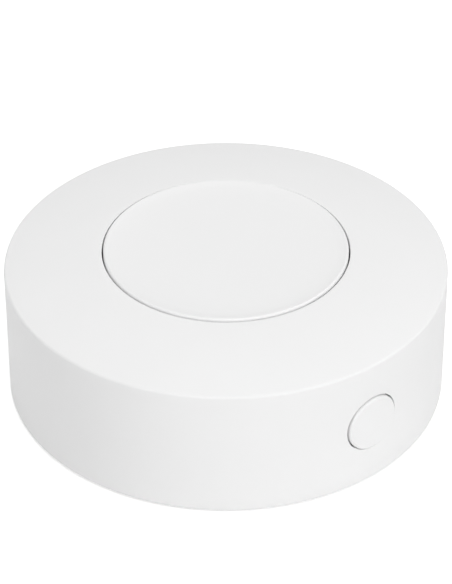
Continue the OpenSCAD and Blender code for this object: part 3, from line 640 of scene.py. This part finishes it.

# %% [markdown]
# The three return springs push the cap back up. Each is a ring of wire points carried round and up
# a helix, because a turned form can't climb. The springs get shorter when the cap goes down, by the
# share that the cap's travel takes from their height; the share that they keep is printed.

# %% Return springs
wire_r, coil_r, coil_turns, coil_clear, cap_travel = 0.175, 1.425, 4, 0.03, 0.6
PER_TURN, WIRE_N = 32, 12
coil_steps = coil_turns * PER_TURN
coil_height = z_cap_under - z_bracket
z_coil, coil_rise = z_bracket + wire_r + coil_clear, coil_height - 2 * wire_r - 2 * coil_clear
lean = math.atan(coil_rise / coil_turns / (2 * math.pi * coil_r))
wire_turns = [2 * math.pi * k / WIRE_N for k in range(WIRE_N)]

coils = Form()
for degrees in spring_turns_at:
    cx, cy = at_turn(spring_ring_r, degrees)
    rings = []
    for i in range(coil_steps + 1):
        t = 2 * math.pi * i / PER_TURN + math.radians(degrees)
        middle = Vector((
            cx + coil_r * math.cos(t), cy + coil_r * math.sin(t), z_coil + coil_rise * i / coil_steps))
        out = Vector((math.cos(t), math.sin(t), 0))
        up = Vector((math.sin(t) * math.sin(lean), -math.cos(t) * math.sin(lean), math.cos(lean)))
        rings.append([
            tuple(middle + wire_r * (math.cos(a) * out + math.sin(a) * up)) for a in wire_turns])
    made = coils.skin(rings)
    coils.faces += [tuple(made[0]), tuple(made[-1])]
return_coils = make_piece(coils, "return_coils", "housing", "spring_steel", "return_springs")
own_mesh(return_coils)
print("springs keep", round((coil_height - cap_travel) / coil_height, 3), "of their height")

# %% [markdown]
# The snap dome is a thin pressed disc of spring steel inside the push switch, and gives the click.
# Two arcs, one for each face, are turned into a shell. It flattens towards its foot when the stem
# comes down.

# %% Snap dome of the main switch
z_cavity, dome_rise, dome_foot_r, dome_sheet = 7.95, 1.42, 2.4, 0.12
CROWN_STEPS, CROWN_N = 16, 64
crown_r = (dome_foot_r ** 2 + dome_rise ** 2) / (2 * dome_rise)
crown_z = z_cavity + dome_rise - crown_r
outer_turn = math.degrees(math.asin((crown_r - dome_rise) / crown_r))
inner_turn = math.degrees(math.asin((crown_r - dome_rise) / (crown_r - dome_sheet)))
snap = Form()
snap.turned(arc(0, crown_z, crown_r, 90, outer_turn, CROWN_STEPS)
            + arc(0, crown_z, crown_r - dome_sheet, inner_turn, 90, CROWN_STEPS), CROWN_N)
snap_dome = make_piece(snap, "snap_dome", "housing", "spring_steel", "main_switch_dome")
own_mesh(snap_dome)

# %% [markdown]
# Every finish is built from the same few nodes: a noise in the object's own space, which needs no
# unwrapping, a map from the noise to a number or a colour, and a bump. A picture laid on the mesh
# would also do, but it would show its pixels in a close view.

# %% Material helpers
NOISE_LOW, NOISE_HIGH = 0.3, 0.7


def grey(level):
    return (level,) * 3


def new_material(name):
    """A material, its nodes, its shader and the place on the object that noises start from."""
    made = bpy.data.materials.new(name)
    made.use_nodes = True
    tree = made.node_tree
    shader = tree.nodes["Principled BSDF"]
    where = tree.nodes.new("ShaderNodeTexCoord")
    return made, tree, shader, where.outputs["Object"]


def noise(tree, where, size_mm, detail=2.0):
    """Noise whose blobs are about size_mm across."""
    made = tree.nodes.new("ShaderNodeTexNoise")
    made.inputs["Scale"].default_value = 1 / (size_mm * MM)
    made.inputs["Detail"].default_value = detail
    tree.links.new(where, made.inputs["Vector"])
    return made.outputs["Fac"]


def ramp(tree, value, low, high):
    """Maps a noise to a range of numbers."""
    made = tree.nodes.new("ShaderNodeMapRange")
    made.inputs["From Min"].default_value = NOISE_LOW
    made.inputs["From Max"].default_value = NOISE_HIGH
    made.inputs["To Min"].default_value = low
    made.inputs["To Max"].default_value = high
    tree.links.new(value, made.inputs["Value"])
    return made.outputs["Result"]


def tones(tree, value, dark, light):
    """Maps a noise to a colour between two tones."""
    made = tree.nodes.new("ShaderNodeValToRGB")
    made.color_ramp.elements[0].position = NOISE_LOW
    made.color_ramp.elements[1].position = NOISE_HIGH
    made.color_ramp.elements[0].color = (*dark, 1)
    made.color_ramp.elements[1].color = (*light, 1)
    tree.links.new(value, made.inputs["Fac"])
    return made.outputs["Color"]


def bump(tree, shader, height, strength, depth_mm):
    """Makes the shader's surface look raised where the height is large."""
    made = tree.nodes.new("ShaderNodeBump")
    made.inputs["Strength"].default_value = strength
    made.inputs["Distance"].default_value = depth_mm * MM
    tree.links.new(height, made.inputs["Height"])
    tree.links.new(made.outputs["Normal"], shader.inputs["Normal"])


# %% [markdown]
# The shell and the caps are matt moulded plastic. Real moulds are spark-eroded, which leaves a
# fine even grain and a soft sheen. The grain is a small bump from a noise of a few octaves, the
# gloss wanders a little with a second noise, and a slow drift in tone stands for the flow of the
# melt. All of it is far smaller than what the picture can show, but it keeps close views from
# looking like paper. The buttons come from a mould of their own, in a white a shade lighter.

# %% White mouldings and grip
drift_mm, gloss_mm, gloss_swing = 9.0, 1.2, 0.03
grain_detail, grain_strength = 4.0, 0.35


def moulded(name, dark, light, rough, grain_mm, grain_depth_mm, specular=0.35):
    """Moulded plastic or rubber with a fine even grain."""
    made, tree, shader, where = new_material(name)
    tone = tones(tree, noise(tree, where, drift_mm), dark, light)
    tree.links.new(tone, shader.inputs["Base Color"])
    gloss = ramp(tree, noise(tree, where, gloss_mm), rough - gloss_swing, rough + gloss_swing)
    tree.links.new(gloss, shader.inputs["Roughness"])
    grain = noise(tree, where, grain_mm, grain_detail)
    bump(tree, shader, grain, grain_strength, grain_depth_mm)
    shader.inputs["Specular IOR Level"].default_value = specular
    print("finish:", name)
    return made


shell_white = moulded("shell_white", grey(0.852), grey(0.859),
                      rough=0.7, grain_mm=0.16, grain_depth_mm=0.004)
cap_white = moulded("cap_white", grey(0.857), grey(0.863),
                    rough=0.7, grain_mm=0.14, grain_depth_mm=0.004)
grip_grey = moulded("grip_grey", grey(0.56), grey(0.62),
                    rough=0.8, grain_mm=0.22, grain_depth_mm=0.012, specular=0.2)
for piece, finish in (
        (top_shell, shell_white), (base_shell, shell_white), (battery_door, shell_white),
        (push_cap, cap_white), (side_button, cap_white), (grip_pad, grip_grey)):
    piece.data.materials.append(finish)

# %% [markdown]
# The parts inside never show while the puck is closed, but a part in a library gets opened. Each
# gets the finish of its real material. Sheet metal is rolled, which leaves fine streaks along one
# axis, so its noise is stretched that way. Drawn wire and screws are streaked less.

# %% Metals
streak_mm, streak_detail, streak_swing = 0.12, 3.0, 0.06
streak_strength, streak_depth_mm = 0.2, 0.002


def sheet_metal(name, dark, light, rough, brush):
    """Metal with fine streaks; a brush under 1 stretches them along that axis."""
    made, tree, shader, where = new_material(name)
    stretch = tree.nodes.new("ShaderNodeMapping")
    stretch.inputs["Scale"].default_value = brush
    tree.links.new(where, stretch.inputs["Vector"])
    streaks = noise(tree, stretch.outputs["Vector"], streak_mm, streak_detail)
    tree.links.new(tones(tree, streaks, dark, light), shader.inputs["Base Color"])
    gloss = ramp(tree, streaks, rough - streak_swing, rough + streak_swing)
    tree.links.new(gloss, shader.inputs["Roughness"])
    bump(tree, shader, streaks, streak_strength, streak_depth_mm)
    shader.inputs["Metallic"].default_value = 1.0
    print("finish:", name)
    return made


spring_wire = sheet_metal("spring_wire", grey(0.5), grey(0.62), rough=0.28, brush=(1, 1, 1))
tinned_sheet = sheet_metal("tinned_sheet", (0.58, 0.58, 0.56), (0.68, 0.68, 0.66),
                           rough=0.36, brush=(0.1, 1, 1))
gold_strip = sheet_metal("gold_strip", (0.7, 0.56, 0.28), (0.8, 0.66, 0.38),
                         rough=0.3, brush=(0.2, 1, 1))
cell_nickel = sheet_metal("cell_nickel", (0.6, 0.6, 0.59), (0.7, 0.7, 0.69),
                          rough=0.32, brush=(0.1, 1, 1))
zinc_screw = sheet_metal("zinc_screw", (0.4, 0.4, 0.41), (0.5, 0.5, 0.51),
                         rough=0.35, brush=(1, 1, 0.3))
return_coils.data.materials.append(spring_wire)
snap_dome.data.materials.append(spring_wire)

# %% [markdown]
# A circuit board is glass cloth under a green lacquer, and its copper tracks show through as paler
# lines. A brick pattern stands for them: the joints between its bricks are the tracks, and the
# bricks themselves are the lacquer. Tracks made as a mesh would cost far more and show no better.

# %% Boards
track_scale, track_share, track_strength, track_depth_mm = 160, 0.03, 0.3, 0.03
lacquer_mm, lacquer_gloss_mm, lacquer_rough = 0.6, 0.4, (0.3, 0.42)


def board_mask(name, mask_dark, mask_light, track):
    """Green lacquer over glass cloth, with pale tracks showing through."""
    made, tree, shader, where = new_material(name)
    tracks = tree.nodes.new("ShaderNodeTexBrick")
    tracks.inputs["Scale"].default_value = track_scale
    tracks.inputs["Mortar Size"].default_value = track_share
    tree.links.new(where, tracks.inputs["Vector"])
    mask = tones(tree, noise(tree, where, lacquer_mm), mask_dark, mask_light)
    tree.links.new(mask, tracks.inputs["Color1"])
    tree.links.new(mask, tracks.inputs["Color2"])
    tracks.inputs["Mortar"].default_value = (*track, 1)
    tree.links.new(tracks.outputs["Color"], shader.inputs["Base Color"])
    gloss = ramp(tree, noise(tree, where, lacquer_gloss_mm), *lacquer_rough)
    tree.links.new(gloss, shader.inputs["Roughness"])
    bump(tree, shader, tracks.outputs["Fac"], track_strength, track_depth_mm)
    print("finish:", name)
    return made


main_mask = board_mask("main_mask", (0.02, 0.13, 0.06), (0.03, 0.17, 0.08), track=(0.05, 0.24, 0.1))
module_mask = board_mask("module_mask", (0.012, 0.08, 0.045), (0.02, 0.11, 0.06),
                         track=(0.04, 0.16, 0.09))

# %% [markdown]
# The bracket, the switch bodies, the fired ceramics and the cell's seal and filling are moulded or
# pressed as well, so they share the helper of the white shell, with other tones, grain and gloss. A
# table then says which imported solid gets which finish. Their meshes stay as they were packed.

# %% Small mouldings, ceramics, and the table of finishes
bracket_natural = moulded("bracket_natural", (0.7, 0.7, 0.68), (0.76, 0.76, 0.74),
                          rough=0.5, grain_mm=0.3, grain_depth_mm=0.006)
switch_black = moulded("switch_black", grey(0.022), grey(0.035),
                       rough=0.45, grain_mm=0.12, grain_depth_mm=0.006)
chip_ceramic = moulded("chip_ceramic", (0.5, 0.41, 0.3), (0.66, 0.56, 0.43),
                       rough=0.5, grain_mm=0.1, grain_depth_mm=0.004)
tantalum_case = moulded("tantalum_case", (0.62, 0.43, 0.08), (0.72, 0.52, 0.12),
                        rough=0.42, grain_mm=0.15, grain_depth_mm=0.004)
lamp_lens = moulded("lamp_lens", (0.8, 0.8, 0.66), (0.88, 0.88, 0.76),
                    rough=0.2, grain_mm=0.4, grain_depth_mm=0.002, specular=0.5)
cell_seal = moulded("cell_seal", grey(0.03), grey(0.06),
                    rough=0.7, grain_mm=0.2, grain_depth_mm=0.006, specular=0.2)
cell_mass = moulded("cell_mass", grey(0.1), grey(0.18),
                    rough=0.85, grain_mm=0.25, grain_depth_mm=0.02, specular=0.1)
inner_finishes = {
    bracket_natural: ["button_bracket"],
    main_mask: ["circuit_board"],
    module_mask: ["radio_module_board"],
    switch_black: ["main_switch_base", "main_switch_stem", "side_switch_base", "side_switch_stem",
                   "radio_chip", "battery_holder"],
    tinned_sheet: ["main_switch_cover", "side_switch_cover", "radio_shield_can", "crystal_can"],
    gold_strip: ["main_switch_pins", "side_switch_pins", "battery_side_clips", "battery_spring_contact"],
    chip_ceramic: ["chip_antenna", "chip_parts"],
    tantalum_case: ["reservoir_capacitor"],
    lamp_lens: ["status_led"],
    cell_nickel: ["coin_cell_can", "coin_cell_cap"],
    cell_seal: ["coin_cell_seal"],
    cell_mass: ["coin_cell_core"],
    zinc_screw: ["board_screws", "base_screws"],
}
for finish, names in inner_finishes.items():
    for name in names:
        nodes[name].data.materials.clear()
        nodes[name].data.materials.append(finish)
print("inner nodes dressed:", sum(len(names) for names in inner_finishes.values()))

# %% [markdown]
# The stage is a pale floor and a soft white room. The picture's background is pure white, so the
# floor and the room add a little glow that only camera, mirror and glass rays see. It lights
# nothing, and the puck's own soft shadow still shows on the floor.

# %% What a ray sees
def seen_directly(tree):
    """1 for rays that show the background itself, 0 for rays that carry light to the puck."""
    path = tree.nodes.new("ShaderNodeLightPath")
    first = tree.nodes.new("ShaderNodeMath")
    first.operation = "MAXIMUM"
    both = tree.nodes.new("ShaderNodeMath")
    both.operation = "MAXIMUM"
    tree.links.new(path.outputs["Is Camera Ray"], first.inputs[0])
    tree.links.new(path.outputs["Is Glossy Ray"], first.inputs[1])
    tree.links.new(first.outputs[0], both.inputs[0])
    tree.links.new(path.outputs["Is Transmission Ray"], both.inputs[1])
    return both.outputs[0]


# %% Floor
floor_half, floor_tone, floor_drift, floor_drift_mm, floor_glow = 3, 0.85, 0.01, 40.0, 0.45
floor_corners = [(x * floor_half, y * floor_half, 0) for x, y in ((-1, -1), (1, -1), (1, 1), (-1, 1))]
floor_mesh = bpy.data.meshes.new("floor")
floor_mesh.from_pydata(floor_corners, [], [(0, 1, 2, 3)])
floor = bpy.data.objects.new("floor", floor_mesh)
bpy.context.scene.collection.objects.link(floor)

paper, tree, shader, where = new_material("floor_paper")
tone = tones(tree, noise(tree, where, floor_drift_mm), grey(floor_tone), grey(floor_tone + floor_drift))
tree.links.new(tone, shader.inputs["Base Color"])
shader.inputs["Roughness"].default_value = 0.9
shader.inputs["Specular IOR Level"].default_value = 0.0
glow = tree.nodes.new("ShaderNodeEmission")
glow.inputs["Strength"].default_value = floor_glow
add = tree.nodes.new("ShaderNodeAddShader")
choose = tree.nodes.new("ShaderNodeMixShader")
tree.links.new(seen_directly(tree), choose.inputs["Fac"])
tree.links.new(shader.outputs["BSDF"], add.inputs[0])
tree.links.new(glow.outputs["Emission"], add.inputs[1])
tree.links.new(shader.outputs["BSDF"], choose.inputs[1])
tree.links.new(add.outputs["Shader"], choose.inputs[2])
tree.links.new(choose.outputs["Shader"], tree.nodes["Material Output"].inputs["Surface"])
floor_mesh.materials.append(paper)
print("floor glow:", floor_glow)

# %% [markdown]
# The room is two skies in one. The puck is lit by a dim one, so that the lamps shape it, and the
# camera sees a white one behind it.

# %% Room
room_light, room_white = 0.211, 1.0
room = bpy.data.worlds.new("white_room")
bpy.context.scene.world = room
room.use_nodes = True
tree = room.node_tree
level = tree.nodes["Background"]
level.inputs["Color"].default_value = (1, 1, 1, 1)
level.inputs["Strength"].default_value = room_light
white = tree.nodes.new("ShaderNodeBackground")
white.inputs["Color"].default_value = (1, 1, 1, 1)
white.inputs["Strength"].default_value = room_white
choose = tree.nodes.new("ShaderNodeMixShader")
tree.links.new(seen_directly(tree), choose.inputs["Fac"])
tree.links.new(level.outputs["Background"], choose.inputs[1])
tree.links.new(white.outputs["Background"], choose.inputs[2])
tree.links.new(choose.outputs["Shader"], tree.nodes["World Output"].inputs["Surface"])
print("room light:", room_light)

# %% [markdown]
# The lamps are large and soft, and stand far off. Two keys, over the camera and to its right, lift
# the near half of the shoulder and the wall that faces right. A weak one fills the left, one behind
# the puck keeps the far shoulder from going dull, and a low one far to the left gives the pale edge
# that the wall shows there. One overhead lights the whole top. Their strengths make white plastic
# come out about as white as its colour says.

# %% Lamps
lamp_distance, lamp_size, overhead_size = 3.0, 1.5, 1.8


def soft_lamp(name, azimuth, elevation, watts, size=lamp_size):
    """A square lamp that looks at the puck; azimuth is turned from the camera's own direction."""
    a, e = view_azimuth + math.radians(azimuth), math.radians(elevation)
    out = Vector((math.sin(a) * math.cos(e), -math.cos(a) * math.cos(e), math.sin(e)))
    data = bpy.data.lights.new(name, "AREA")
    data.shape = "SQUARE"
    data.size = size
    data.energy = watts
    made = bpy.data.objects.new(name, data)
    bpy.context.scene.collection.objects.link(made)
    made.location = puck_middle + out * lamp_distance
    made.rotation_mode = "QUATERNION"
    made.rotation_quaternion = (-out).to_track_quat("-Z", "Y")
    print("lamp", name, watts, "W")


soft_lamp("front_key", azimuth=0, elevation=30, watts=18.2)
soft_lamp("right_key", azimuth=45, elevation=30, watts=34.4)
soft_lamp("left_fill", azimuth=-60, elevation=45, watts=14.0)
soft_lamp("far_side", azimuth=150, elevation=45, watts=18.4)
soft_lamp("left_edge", azimuth=-130, elevation=5, watts=21.4)
soft_lamp("overhead", azimuth=0, elevation=85, watts=23.0, size=overhead_size)

# %% [markdown]
# Last, the picture's colours are kept as they are written, with no film curve.

# %% Colour and finish
bpy.context.scene.view_settings.view_transform = "Standard"
